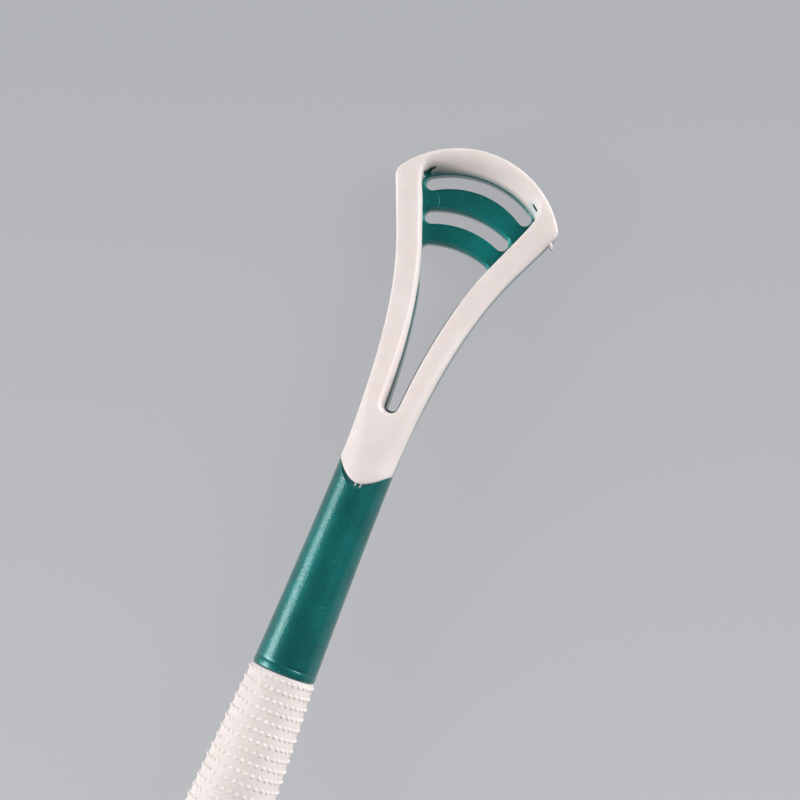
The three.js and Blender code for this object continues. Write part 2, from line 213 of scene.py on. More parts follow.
handle_profile = [
    (boss_radius - boss_edge, butt_at),
    (boss_radius, butt_at + boss_edge),
    (boss_radius, tang_foot_at),
    (tang_radius, tang_foot_at),
    (tang_radius, 0),
]
for index in range(round_steps + 1):
    angle = index / round_steps * math.pi / 2
    handle_profile.append((
        collar_radius - collar_round * (1 - math.sin(angle)),
        collar_round * (1 - math.cos(angle)),
    ))
witness_low = collar_land - witness_width
witness_high = collar_land + witness_width
handle_profile += [
    (collar_radius - collar_fall, collar_middle_at),
    (half_width(witness_low) - witness_lead, witness_low),
    (half_width(collar_land) - witness_depth, collar_land),
    (half_width(witness_high), witness_high),
]
core_rings = [round_ring(radius, at, section_sides) for radius, at in handle_profile]
body_stations = (
    steps(neck_foot_at, bend_at - bend_reach, neck_steps)
    + steps(bend_at - bend_reach, bend_at + bend_reach, bend_steps)
    + steps(bend_at + bend_reach, corner_at, head_steps)
    + [corner_at, tip_at, tip_at + tip_spare]
)
core_rings += [body_ring(at) for at in body_stations]
core = loft("core_moulding", core_rings)


# Core, cuts: the fork's window, the two curved slots, the round tip and the seat of the soft skin. The
# mould leaves a small radius on each edge of the plate, so the cutting shapes widen towards both faces.
fork_at = 56.05
fork_round = 1.3
arm_width_at_fork = 4.35
arm_width_at_top = 5.65
arm_widening = 1.4
plate_edge_at = 92.2
plate_edge_radius = 20
plate_corner_round = 1.5
corner_round = 2
edge_radius = 0.4
band_edge_radius = 0.6
arm_edge_radius = 0.1
arm_ledge = 0.45
crotch_ledge = 0.2
tip_inset = 0.35
inset_from_at = corner_at - 5
inset_full_at = corner_at - 2.5
facet_at = 39.7
facet_lead = 1
facet_slope = 0.65
border_at = 40.3
border_half_width = 5.95
border_rise = 4.5
border_power = 1.75
border_side_at = border_at + border_rise
cut_reach = 14
cut_spare = 3
trim_reach = 60
wide_cut = corner_half_width + cut_spare
ledge_fade = (plate_edge_at - 12, plate_edge_at - 5)
rounding_growth = (plate_edge_at - 10, plate_edge_at - 4)
edge_steps = 5
crotch_steps = 16
corner_steps = 8
window_side_steps = 28
plate_edge_steps = 26
slot_steps = 30
slot_end_steps = 12
tip_steps = 60
tip_corner_steps = 10
border_steps = 60
meeting_rounds = 40
shoulder_drop = 1
upper_slot = {"middle_at": 105.85, "half_length": 11.5, "width": 2.85, "radius": 19}
lower_slot = {"middle_at": 98.05, "half_length": 9.1, "width": 2.8, "radius": 20}


def on_head(x, station, height):
    """A place on the leaning head: station and height are taken along and square to its plate."""
    run = station - bend_at
    return in_frame(
        x,
        bend_at + run * math.cos(head_tilt) + height * math.sin(head_tilt),
        height * math.cos(head_tilt) - run * math.sin(head_tilt),
    )


def border_station(x):
    """Station of the skin's U-shaped border on the neck."""
    return border_at + border_rise * (abs(x) / border_half_width) ** border_power


def window_half(station):
    share = max((station - fork_at) / (corner_at - fork_at), 0)
    return half_width(station) - mix(arm_width_at_fork, arm_width_at_top, share ** arm_widening)


def arc(x, at, radius, start, end, count):
    """Points on an arc about (x, at), as (across, station) pairs, both ends included."""
    return [
        (
            x + radius * math.cos(mix(start, end, index / count)),
            at + radius * math.sin(mix(start, end, index / count)),
        )
        for index in range(count + 1)
    ]


def crotch():
    """The window's round lower end, from left to right."""
    first_at = fork_at + fork_round
    return [
        (window_half(first_at) * math.cos(angle), first_at + fork_round * math.sin(angle))
        for angle in steps(-math.pi, 0, crotch_steps) + [0]
    ]


def arm_side(top_at, count):
    """The right arm's inner side, from just above the crotch up to a station."""
    first_at = fork_at + fork_round
    return [(window_half(at), at) for at in steps(first_at, top_at, count)[1:] + [top_at]]


def mirrored(points):
    return [(-x, at) for x, at in reversed(points)]


def meet_side(centre_at, radius):
    """Station where a circle about the middle line meets the arms' inner sides."""
    at = centre_at + radius
    for _ in range(meeting_rounds):
        at = centre_at + math.sqrt(radius ** 2 - window_half(at) ** 2)
    return at


def bent(first, corner, last):
    """Points that round off a corner between the last point of one line and the first of the next."""
    return [
        tuple(mix(mix(a, b, t), mix(b, c, t), t) for a, b, c in zip(first, corner, last))
        for t in steps(0, 1, corner_steps)[1:]
    ]


def window_outline():
    centre_at = plate_edge_at - plate_edge_radius
    corner = meet_side(centre_at, plate_edge_radius)
    side = arm_side(corner - plate_corner_round, window_side_steps)
    start = math.acos((window_half(corner) - plate_corner_round) / plate_edge_radius)
    edge = arc(0, centre_at, plate_edge_radius, start, math.pi - start, plate_edge_steps)
    bend = bent(side[-1], (window_half(corner), corner), edge[0])
    return crotch() + side + bend + edge + mirrored(bend) + mirrored(side)


def slot_outline(middle_at, half_length, width, radius):
    """A curved slot with round ends, bent about a point on the middle line."""
    half = width / 2
    centre_at = middle_at - radius
    turn = math.asin((half_length - half) / radius)
    start = math.pi / 2 - turn
    end = math.pi / 2 + turn
    end_x = radius * math.sin(turn)
    end_at = centre_at + radius * math.cos(turn)
    return (
        arc(0, centre_at, radius + half, start, end, slot_steps)
        + arc(-end_x, end_at, half, end, end + math.pi, slot_end_steps)[1:-1]
        + arc(0, centre_at, radius - half, end, start, slot_steps)
        + arc(end_x, end_at, half, start - math.pi, start, slot_end_steps)[1:-1]
    )


def grown(outline, distances):
    """The outline with each point moved outwards, square to the line through its neighbours."""
    points = []
    for index, (x, at) in enumerate(outline):
        last_x, last_at = outline[index - 1]
        next_x, next_at = outline[(index + 1) % len(outline)]
        across = next_at - last_at
        along = last_x - next_x
        length = math.hypot(across, along)
        points.append((
            x + across / length * distances[index],
            at + along / length * distances[index],
        ))
    return points


def edge_levels(front_at, back_at, radius):
    """Heights and widenings of a cutting shape that rounds the edges of both faces."""
    levels = [(front_at + cut_reach, 1), (front_at, 1)]
    for index in range(1, edge_steps + 1):
        angle = index / edge_steps * math.pi / 2
        levels.append((front_at - radius * math.sin(angle), 1 - math.sin(angle)))
    for index in range(edge_steps):
        angle = index / edge_steps * math.pi / 2
        levels.append((back_at + radius * math.cos(angle), 1 - math.cos(angle)))
    return levels + [(back_at, 1), (back_at - cut_reach, 1)]


def through_cut(name, outline, radii, levels):
    """A solid square to the plate, whose outline is widened by its own share of radii at each level."""
    rings = []
    for height, share in levels:
        widened = grown(outline, [radius * share for radius in radii])
        rings.append([on_head(x, at, height) for x, at in widened])
    return loft(name, rings)


def make_active(piece):
    bpy.ops.object.select_all(action="DESELECT")
    piece.select_set(True)
    bpy.context.view_layer.objects.active = piece


def apply_boolean(piece, tool, operation):
    make_active(piece)
    boolean = piece.modifiers.new(operation.lower(), "BOOLEAN")
    boolean.operation = operation
    boolean.solver = "MANIFOLD"
    boolean.object = tool
    bpy.ops.object.modifier_apply(modifier=boolean.name)
    bpy.data.objects.remove(tool)


def tip_outline(low_points):
    """Outline of the head from its tip down, closed below by low_points, which run from right to left."""
    flank = math.atan(flank_slope)
    reach = tip_arc_radius - corner_round
    foot = half_width(arc_centre) * math.cos(flank)
    angle = math.acos((foot - corner_round) / reach) - flank
    centre_x = reach * math.cos(angle)
    centre_at = arc_centre + reach * math.sin(angle)
    corner = arc(centre_x, centre_at, corner_round, -flank, angle, tip_corner_steps)
    shoulder = [(wide_cut, corner[0][1] - shoulder_drop)]
    tip = arc(0, arc_centre, tip_arc_radius, angle, math.pi - angle, tip_steps)[1:-1]
    return shoulder + corner + tip + mirrored(corner) + mirrored(shoulder) + low_points


behind_butt = butt_at - 20
tip_line = tip_outline([(-wide_cut, behind_butt), (wide_cut, behind_butt)])
core_tip_line = grown(tip_line, [
    -tip_inset * ease(inset_from_at, inset_full_at, at) if abs(x) < wide_cut else 0
    for x, at in tip_line
])
tip_radii = [0 if abs(x) == wide_cut else -edge_radius for x, at in tip_line]
trim_levels = [(trim_reach, 0), (edge_radius - arm_back, 0)]
for index in range(1, edge_steps + 1):
    angle = index / edge_steps * math.pi / 2
    trim_levels.append((edge_radius * (1 - math.sin(angle)) - arm_back, 1 - math.cos(angle)))
trim_levels.append((-trim_reach, 1))
apply_boolean(core, through_cut("tip_trim", core_tip_line, tip_radii, trim_levels), "INTERSECT")

# A facet slopes down to the skin's border, where the second mould shuts off against the neck.
facet_rings = []
for at in (facet_at - facet_lead, border_side_at):
    low = half_width(facet_at) - facet_slope * (at - facet_at)
    corners = ((-wide_cut, low), (wide_cut, low), (wide_cut, wide_cut), (-wide_cut, wide_cut))
    facet_rings.append([in_frame(x, at, height) for x, height in corners])
apply_boolean(core, loft("facet", facet_rings), "DIFFERENCE")

border_line = [
    (x, border_station(x))
    for x in steps(-border_half_width, border_half_width, border_steps) + [border_half_width]
]
seat_line = border_line + [
    (wide_cut, border_side_at),
    (wide_cut, tip_at + cut_spare),
    (-wide_cut, tip_at + cut_spare),
    (-wide_cut, border_side_at),
]
seat_levels = [(cut_reach, 0), (0, 0)]
seat_radii = [0] * len(seat_line)
apply_boolean(core, through_cut("skin_seat", seat_line, seat_radii, seat_levels), "DIFFERENCE")

# Two ejector pins, cut a little short, left round marks that stand proud of the plate.
ejector_x = 9.4
ejector_at = 99.3
ejector_radius = 2.1
ejector_height = 0.12
ejector_sides = 48
for side in (-1, 1):
    line = arc(side * ejector_x, ejector_at, ejector_radius, 0, 2 * math.pi, ejector_sides)[:-1]
    levels = [(ejector_height, 0), (-ejector_height, 1)]
    mark = through_cut("ejector_mark", line, [2 * ejector_height] * len(line), levels)
    apply_boolean(core, mark, "UNION")

# Below the skin the core's arms stand a little further into the window, as a narrow ledge.
window_line = window_outline()
window_line = grown(window_line, [
    arm_ledge * ease(*ledge_fade, at) - arm_ledge
    - crotch_ledge * (1 - ease(fork_at, fork_at + fork_round, at))
    for x, at in window_line
])
window_radii = [
    mix(arm_edge_radius, band_edge_radius, ease(*rounding_growth, at))
    for x, at in window_line
]
band_levels = edge_levels(0, -arm_back, band_edge_radius)
window = through_cut("window", window_line, window_radii, band_levels)
apply_boolean(core, window, "DIFFERENCE")
for slot, radius in ((upper_slot, edge_radius), (lower_slot, band_edge_radius)):
    line = slot_outline(**slot)
    levels = edge_levels(0, -arm_back, radius)
    cutter = through_cut("slot", line, [radius] * len(line), levels)
    apply_boolean(core, cutter, "DIFFERENCE")

# At both ends of the lip the skin did not quite close: the plate shows through on the left, and a low
# post of the core on the right.
show_through_left = [
    (-12.55, 104), (-12.5, 104.4), (-11.95, 105), (-11.6, 105.55), (-10.9, 106.05), (-10.45, 106.2),
    (-10.4, 105.85), (-10.95, 105.4), (-11.15, 104.95), (-11.05, 104.55), (-10.75, 104.4),
    (-10.8, 103.75), (-11.5, 103.4), (-11.5, 103.75), (-12.2, 103.7),
]
show_through_right = [
    (10.5, 106.3), (10.9, 106.2), (11.7, 105.6), (12.1, 105.2), (12, 104.95), (11.5, 105.3),
    (10.8, 105.85),
]
post_height = 1.1
post_depth = 1
post_spread = 0.1
line = show_through_right[::-1]
post = through_cut("key_post", line, [post_spread] * len(line), [(post_height, 1), (-post_depth, 1)])
apply_boolean(core, post, "UNION")


crease_angle = math.radians(35)


def finish_edges(piece):
    make_active(piece)
    bpy.ops.object.shade_smooth_by_angle(angle=crease_angle)
    weighted = piece.modifiers.new("weighted", "WEIGHTED_NORMAL")
    weighted.keep_sharp = True
    bpy.ops.object.modifier_apply(modifier=weighted.name)


finish_edges(core)


# Core, material: polypropylene with mica pearl pigment, moulded against polished steel. Under a clear
# glossy skin the mica gives a broad teal sheen round each highlight and a fine grain of bright points.
def linear(hex_colour):
    channels = [int(hex_colour[index:index + 2], 16) / 255 for index in (1, 3, 5)]
    return tuple(
        c / 12.92 if c <= 0.04045 else ((c + 0.055) / 1.055) ** 2.4 for c in channels
    ) + (1,)


def add_node(material, kind, inputs=None, **settings):
    made = material.node_tree.nodes.new(kind)
    for name, value in settings.items():
        setattr(made, name, value)
    for name, value in (inputs or {}).items():
        if isinstance(value, bpy.types.NodeSocket):
            material.node_tree.links.new(value, made.inputs[name])
        else:
            made.inputs[name].default_value = value
    return made


def new_material(name):
    material = bpy.data.materials.new(name)
    material.use_nodes = True
    material.node_tree.nodes.clear()
    return material


# Mica grains are far finer than a pixel: they are drawn 0.3 mm wide so that they show.
grain_width = 0.3
grain_relief = 0.05
cloud_width = 9
flake_spacing = 2
# Middle of the painted sheen on the plate.
painted_sheen_middle = on_head(7.5, 95.5, 0)
pearl_plastic = new_material("pearl_polypropylene_moulded")
place = add_node(pearl_plastic, "ShaderNodeTexCoord")
grain = add_node(pearl_plastic, "ShaderNodeTexVoronoi", {
    "Vector": place.outputs["Object"], "Scale": 1 / (grain_width * mm)})
grain_share = add_node(pearl_plastic, "ShaderNodeMapRange", {
    "Value": grain.outputs["Color"], "From Min": 0.1, "From Max": 0.95})
clouds = add_node(pearl_plastic, "ShaderNodeTexNoise", {
    "Vector": place.outputs["Object"], "Scale": 1 / (cloud_width * mm), "Detail": 4})
tint = add_node(pearl_plastic, "ShaderNodeMix", {
    "Factor": grain_share.outputs["Result"], 6: linear("#056f6c"), 7: linear("#087b78")},
    data_type="RGBA")
tint_share = add_node(pearl_plastic, "ShaderNodeMapRange", {
    "Value": clouds.outputs["Fac"], "From Min": 0.35, "From Max": 0.68, "To Max": 0.65})
colour = add_node(pearl_plastic, "ShaderNodeMix", {
    "Factor": tint_share.outputs["Result"], 6: tint.outputs[2], 7: linear("#045452")},
    data_type="RGBA")
# Painted sheen: the plate is painted lighter round a place off its middle, where more light falls on it.
painted_sheen_distance = add_node(pearl_plastic, "ShaderNodeVectorMath", {
    0: place.outputs["Object"], 1: painted_sheen_middle}, operation="DISTANCE")
painted_sheen_share = add_node(pearl_plastic, "ShaderNodeMapRange", {
    "Value": painted_sheen_distance.outputs["Value"], "From Min": 2 * mm, "From Max": 11 * mm, "To Min": 0.7, "To Max": 0},
    interpolation_type="SMOOTHSTEP")
colour_with_painted_sheen = add_node(pearl_plastic, "ShaderNodeMix", {
    "Factor": painted_sheen_share.outputs["Result"], 6: colour.outputs[2], 7: linear("#0a8e8a")},
    data_type="RGBA")
# A few larger flakes lie just under the surface; their sparkle is painted glints, single light points in
# the colour.
flake = add_node(pearl_plastic, "ShaderNodeTexVoronoi", {
    "Vector": place.outputs["Object"], "Scale": 1 / (flake_spacing * mm)})
flake_glint_share = add_node(pearl_plastic, "ShaderNodeMapRange", {
    "Value": flake.outputs["Distance"], "From Min": 0.04, "From Max": 0.08, "To Min": 0.4, "To Max": 0})
colour_with_painted_glints = add_node(pearl_plastic, "ShaderNodeMix", {
    "Factor": flake_glint_share.outputs["Result"], 6: colour_with_painted_sheen.outputs[2], 7: linear("#9fd2cb")},
    data_type="RGBA")
bump = add_node(pearl_plastic, "ShaderNodeBump", {
    "Height": grain.outputs["Distance"], "Strength": 0.5, "Distance": grain_relief * mm})
shader = add_node(pearl_plastic, "ShaderNodeBsdfPrincipled", {
    "Base Color": colour_with_painted_glints.outputs[2],
    "Metallic": 0.5,
    "Roughness": 0.46,
    "IOR": 1.49,
    "Specular IOR Level": 0.3,
    "Coat Weight": 0.9,
    "Coat Roughness": 0.09,
    "Coat IOR": 1.45,
    "Normal": bump.outputs["Normal"],
    "Coat Normal": bump.outputs["Normal"],
})
add_node(pearl_plastic, "ShaderNodeOutputMaterial", {"Surface": shader.outputs["BSDF"]})

core.data.materials.clear()
core.data.materials.append(pearl_plastic)
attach(core, "root")
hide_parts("core")


# Head skin: white thermoplastic elastomer moulded over the front of the fork. Its arms end in a thin
# raised lip with a ramp down to the plate, and its tongue runs down the neck to a U-shaped border.
skin_lead = 2
skin_foot = -0.1
skin_foot_fall = 0.008
skin_spare = 0.7
wall_foot = -0.25
wall_lean = 0.16
skin_proud = 0.06
lip_edge = 0.35
ramp_foot_at = 107.5
ramp_foot_radius = 20.9
ramp_bulge = 0.75
ramp_levels = 10
ramp_steps = 48
pocket_side_steps = 40
draft_fade = 3
pocket_foot = -2
pocket_corner_low = 1.2
pocket_corner_high = 3
skin_voxel = 0.2
skin_smoothing = 14
trim_spread = 1
nib_radius = 0.7
sliver_sides = 5
sliver_taper = ((0, 1), (0.6, 0.8), (0.92, 0.5), (1, 0.15))
skin_crease_angle = math.radians(50)

skin_stations = (
    steps(border_at - skin_lead, bend_at + bend_reach, neck_steps)
    + steps(bend_at + bend_reach, corner_at, head_steps)
    + [corner_at, tip_at, tip_at + tip_spare]
)
head_skin = loft("head_skin_moulding", [body_ring(at, skin_proud) for at in skin_stations])
skin_line = tip_outline([(-wide_cut, border_side_at)] + border_line + [(wide_cut, border_side_at)])


def skin_block(name, spread, spare):
    """The space above the skin's foot: its outline spread by some way, its foot lowered by some spare."""
    outline = grown(skin_line, [spread] * len(skin_line))
    return loft(name, [
        [on_head(x, at, cut_reach) for x, at in outline],
        [on_head(x, at, skin_foot - spare - skin_foot_fall * (at - border_side_at)) for x, at in outline],
    ])


apply_boolean(head_skin, skin_block("skin_outline", 0, skin_spare), "INTERSECT")


def pocket_ring(share, height):
    """The space between the arms, closed by the lip's ramp as it is at a share of the way up."""
    radius = mix(ramp_foot_radius, tip_arc_radius - lip_edge, share)
    centre_at = mix(ramp_foot_at - ramp_foot_radius, arc_centre, share)
    corner = meet_side(centre_at, radius)
    rounding = mix(pocket_corner_low, pocket_corner_high, share)
    side = arm_side(corner - rounding, pocket_side_steps)
    start = math.acos((window_half(corner) - rounding) / radius)
    ramp = arc(0, centre_at, radius, start, math.pi - start, ramp_steps)
    bend = bent(side[-1], (window_half(corner), corner), ramp[0])
    outline = crotch() + side + bend + ramp + mirrored(bend) + mirrored(side)
    draft = wall_foot + wall_lean * max(height, 0)
    top_at = side[-1][1]
    opened = grown(outline, [draft * (1 - ease(top_at - draft_fade, top_at, at)) for x, at in outline])
    return [on_head(x, at, height) for x, at in opened]


lip_height = arm_front + lip_rise
pocket_rings = [pocket_ring(0, pocket_foot)]
for share in steps(0, 1, ramp_levels) + [1]:
    pocket_rings.append(pocket_ring(share, lip_height * (share + ramp_bulge * share * (1 - share))))
pocket_rings.append(pocket_ring(1, cut_reach))
apply_boolean(head_skin, loft("pocket", pocket_rings), "DIFFERENCE")

remesh = head_skin.modifiers.new("remesh", "REMESH")
remesh.mode = "VOXEL"
remesh.voxel_size = skin_voxel * mm
bpy.ops.object.modifier_apply(modifier=remesh.name)
smooth = head_skin.modifiers.new("smooth", "SMOOTH")
smooth.factor = 0.5
smooth.iterations = skin_smoothing
bpy.ops.object.modifier_apply(modifier=smooth.name)

# The smoothing has rounded the foot as well, so the spare height is cut off to leave a clean parting line.
apply_boolean(head_skin, skin_block("foot_trim", trim_spread, 0), "INTERSECT")
for line in (show_through_left[::-1], show_through_right[::-1]):
    apply_boolean(
        head_skin,
        through_cut("show_through", line, [0] * len(line), [(cut_reach, 0), (-post_depth, 0)]),
        "DIFFERENCE",
    )


def sliver(name, first, last, radius):
    """A thin tapered thread of flash from one place to another, pointed at its end."""
    along = (last - first).normalized()
    across = along.orthogonal().normalized()
    other = along.cross(across)
    rings = []
    for share, size in sliver_taper:
        place = first.lerp(last, share)
        rings.append([
            place + (across * math.cos(turn) + other * math.sin(turn)) * radius * size * mm
            for turn in steps(0, 2 * math.pi, sliver_sides)
        ])
    return loft(name, rings)


# A nib stands off the right flank, and three short threads of flash lie over the border on the neck.
nib = sliver("nib", on_head(15.8, 101.2, 0.8), on_head(17.6, 99, 0.3), nib_radius)
apply_boolean(head_skin, nib, "UNION")
flash_threads = (
    (in_frame(0.05, 41.6, 5.35), in_frame(-0.2, 39.95, 5.4), 0.18),
    (in_frame(1.1, 41.7, 5.3), in_frame(0.88, 40.4, 5.2), 0.18),
    (in_frame(0.92, 40.5, 5.15), in_frame(0.78, 39.9, 5.42), 0.14),
)
for first, last, radius in flash_threads:
    apply_boolean(head_skin, sliver("flash", first, last, radius), "UNION")
make_active(head_skin)
bpy.ops.object.shade_smooth_by_angle(angle=skin_crease_angle)

# White elastomer, moulded against a finely blasted surface: matte, slightly warm, with light passing a
# little way into it. Faint mottling and a few specks are what handling leaves on it.
# The blasting's grain is finer than a pixel: it is drawn 0.25 mm wide so that it shows.
blast_width = 0.25
blast_relief = 0.04
mottle_width = 4
speck_spacing = 3.2
light_depth = 1.4
soft_white = new_material("white_elastomer_moulded")
place = add_node(soft_white, "ShaderNodeTexCoord")
mottle = add_node(soft_white, "ShaderNodeTexNoise", {
    "Vector": place.outputs["Object"], "Scale": 1 / (mottle_width * mm), "Detail": 4})
mottle_share = add_node(soft_white, "ShaderNodeMapRange", {
    "Value": mottle.outputs["Fac"], "From Min": 0.3, "From Max": 0.7})
white = add_node(soft_white, "ShaderNodeMix", {
    "Factor": mottle_share.outputs["Result"], 6: linear("#efe5e2"), 7: linear("#eadfdc")},
    data_type="RGBA")
speck = add_node(soft_white, "ShaderNodeTexVoronoi", {
    "Vector": place.outputs["Object"], "Scale": 1 / (speck_spacing * mm)})
speck_share = add_node(soft_white, "ShaderNodeMapRange", {
    "Value": speck.outputs["Distance"], "From Min": 0.03, "From Max": 0.07, "To Min": 0.25,
    "To Max": 0})
white_specked = add_node(soft_white, "ShaderNodeMix", {
    "Factor": speck_share.outputs["Result"], 6: white.outputs[2], 7: linear("#b9aeaa")},
    data_type="RGBA")
blast = add_node(soft_white, "ShaderNodeTexNoise", {
    "Vector": place.outputs["Object"], "Scale": 1 / (blast_width * mm), "Detail": 2})
blast_bump = add_node(soft_white, "ShaderNodeBump", {
    "Height": blast.outputs["Fac"], "Strength": 0.12, "Distance": blast_relief * mm})
shader = add_node(soft_white, "ShaderNodeBsdfPrincipled", {
    "Base Color": white_specked.outputs[2],
    "Roughness": 0.55,
    "IOR": 1.45,
    "Subsurface Weight": 0.7,
    "Subsurface Radius": (1, 0.95, 0.9),
    "Subsurface Scale": light_depth * mm,
    "Normal": blast_bump.outputs["Normal"],
})
add_node(soft_white, "ShaderNodeOutputMaterial", {"Surface": shader.outputs["BSDF"]})

# On the head the same elastomer runs out thin over the teal core, which tints it; painted shade darkens it
# too.
slit_middle = on_head(11.2, 105.5, 1.4)
# The lip's left corner is darkened with painted shade.
thin_shaded_corner = on_head(-10.6, 105.2, 0.2)
thin_shaded_corner_reach = (9, 4, 3)
# The skin's foot is darkened with painted shade up to this height.
shaded_foot_height = 1.1
thin_and_shaded_white = soft_white.copy()
thin_and_shaded_white.name = "white_elastomer_moulded_thin_painted_shade"
place = thin_and_shaded_white.node_tree.nodes[place.name]
white_specked = thin_and_shaded_white.node_tree.nodes[white_specked.name]
shader = thin_and_shaded_white.node_tree.nodes[shader.name]
# Beside the small opening at the lip's right end the skin is thin, and the teal below tints it.
slit_distance = add_node(thin_and_shaded_white, "ShaderNodeVectorMath", {
    0: place.outputs["Object"], 1: slit_middle}, operation="DISTANCE")
thin_share = add_node(thin_and_shaded_white, "ShaderNodeMapRange", {
    "Value": slit_distance.outputs["Value"], "From Min": 0.3 * mm, "From Max": 2.2 * mm, "To Min": 0.6,
    "To Max": 0})
white_thinned = add_node(thin_and_shaded_white, "ShaderNodeMix", {
    "Factor": thin_share.outputs["Result"], 6: white_specked.outputs[2], 7: linear("#bfe0df")},
    data_type="RGBA")
# In the lip's left corner the ramp runs out thin over the plate with a grey-green tint, and painted shade
# darkens it.
corner_offset = add_node(thin_and_shaded_white, "ShaderNodeVectorMath", {
    0: place.outputs["Object"], 1: thin_shaded_corner}, operation="SUBTRACT")
corner_scaled = add_node(thin_and_shaded_white, "ShaderNodeVectorMath", {
    0: corner_offset.outputs["Vector"],
    1: tuple(1 / (reach * mm) for reach in thin_shaded_corner_reach)}, operation="MULTIPLY")
corner_distance = add_node(thin_and_shaded_white, "ShaderNodeVectorMath", {
    0: corner_scaled.outputs["Vector"]}, operation="LENGTH")
corner_shade_share = add_node(thin_and_shaded_white, "ShaderNodeMapRange", {
    "Value": corner_distance.outputs["Value"], "To Min": 0.95, "To Max": 0})
white_with_corner_shade = add_node(thin_and_shaded_white, "ShaderNodeMix", {
    "Factor": corner_shade_share.outputs["Result"], 6: white_thinned.outputs[2], 7: linear("#456665")},
    data_type="RGBA")
# All along its foot the skin thins out over the core and takes some of its colour, and painted shade
# darkens the foot.
plate_offset = add_node(thin_and_shaded_white, "ShaderNodeVectorMath", {
    0: place.outputs["Object"], 1: on_head(0, tip_at, 0)}, operation="SUBTRACT")
above_plate = add_node(thin_and_shaded_white, "ShaderNodeVectorMath", {
    0: plate_offset.outputs["Vector"], 1: (0, math.sin(head_tilt), math.cos(head_tilt))},
    operation="DOT_PRODUCT")
foot_shade_share = add_node(thin_and_shaded_white, "ShaderNodeMapRange", {
    "Value": above_plate.outputs["Value"], "From Min": 0, "From Max": shaded_foot_height * mm,
    "To Min": 0.7, "To Max": 0})
white_with_foot_shade = add_node(thin_and_shaded_white, "ShaderNodeMix", {
    "Factor": foot_shade_share.outputs["Result"], 6: white_with_corner_shade.outputs[2], 7: linear("#5f8584")},
    data_type="RGBA")
thin_and_shaded_white.node_tree.links.new(white_with_foot_shade.outputs[2], shader.inputs["Base Color"])

head_skin.data.materials.clear()
head_skin.data.materials.append(thin_and_shaded_white)
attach(head_skin, "root")
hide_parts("head_skin")


# Grip: a sleeve of the same white elastomer moulded round the tang, swelling towards the palm. Rings of
# small round nubs, one ring to a mould insert, keep wet fingers from slipping.
grip_length = 68
grip_top_radius = 6.6
grip_radius = 9
grip_widest_at = 45
grip_swell = 0.58
grip_tail_radius = 7.2
grip_tail_round = 4
grip_tail_narrowing = 2
tail_steps = 12
grip_mouth = 0.04
mouth_round = 0.25
mouth_inset = 0.075
sleeve_steps = 60
halvings = 40
bore_gap = 0.25
shoulder_gap = 0.2
nub_columns = 32
nub_pitch = 2.18
nub_top_margin = 1.1
nub_field_length = 48
nub_radius = 0.42
nub_height = 0.33
nub_flare = 1.2
nub_root = 0.03
nub_foot_share = 0.4
nub_foot_rise = 0.1
nub_cap_rise = 0.3
nub_cap_start = 0.25
nub_sides = 10
cap_steps = 6
grip_sides = 128

swell_points = [
    (grip_top_radius, 0),
    (mix(grip_top_radius, grip_radius, grip_swell), grip_widest_at / 2),
    (grip_radius, grip_widest_at),
    (grip_tail_radius, grip_length - grip_tail_round),
]


def swell_point(share):
    """A point (radius, depth) on a smooth curve through the sleeve's four given radii."""
    last = len(swell_points) - 1
    place = share * last
    index = min(int(place), last - 1)
    t = place - index
    picks = [max(index - 1, 0), index, index + 1, min(index + 2, last)]
    a, b, c, d = (swell_points[pick] for pick in picks)
    values = []
    for p0, p1, p2, p3 in zip(a, b, c, d):
        v0 = (p2 - p0) / 2
        v1 = (p3 - p1) / 2
        values.append(
            (2 * p1 - 2 * p2 + v0 + v1) * t ** 3 + (3 * p2 - 3 * p1 - 2 * v0 - v1) * t ** 2
            + v0 * t + p1)
    return values


def grip_radius_at(depth):
    """The smooth sleeve's radius at a depth below the collar, found by halving."""
    low, high = 0, 1
    for _ in range(halvings):
        middle = (low + high) / 2
        if swell_point(middle)[1] < depth:
            low = middle
        else:
            high = middle
    return swell_point(low)[0]


bore = tang_radius + bore_gap
tail_bore = boss_radius + joint_gap
sleeve_profile = [
    (bore, -grip_mouth),
    (grip_radius_at(0) - mouth_round, -grip_mouth),
    (grip_radius_at(0) - mouth_inset, -grip_mouth - mouth_inset),
]
for depth in steps(grip_mouth + mouth_round, grip_length - grip_tail_round, sleeve_steps):
    sleeve_profile.append((grip_radius_at(depth), -depth))
for index in range(tail_steps + 1):
    angle = index / tail_steps * math.pi / 2
    sleeve_profile.append((
        grip_tail_radius - grip_tail_narrowing * (1 - math.cos(angle)),
        -(grip_length - grip_tail_round) - grip_tail_round * math.sin(angle),
    ))
sleeve_profile += [
    (tail_bore, -grip_length),
    (tail_bore, tang_foot_at + shoulder_gap),
    (bore, tang_foot_at + shoulder_gap),
    (bore, -grip_mouth),
]
grip = loft(
    "grip_sleeve",
    [round_ring(radius, at, grip_sides) for radius, at in sleeve_profile],
    closed=True,
)

# A nub's foot flares into the sleeve and reaches just below its surface; above it is an oval cap.
nub_profile = [
    (nub_radius * nub_flare, -nub_root),
    (nub_radius * mix(1, nub_flare, nub_foot_share), nub_height * nub_foot_rise),
    (nub_radius, nub_height * nub_cap_rise),
]
for index in range(1, cap_steps):
    angle = mix(nub_cap_start, 1, index / cap_steps) * math.pi / 2
    nub_profile.append((nub_radius * math.cos(angle), nub_height * math.sin(angle)))


def nub_ring(radius, height, depth, base):
    """A ring of one nub on top of the sleeve, bent down at its sides as the round sleeve is."""
    ring = []
    for side in range(nub_sides):
        angle = 2 * math.pi * side / nub_sides
        across = radius * math.cos(angle)
        lift = base - across * across / (2 * base)
        ring.append(in_frame(across, radius * math.sin(angle) - depth, lift + height))
    return ring


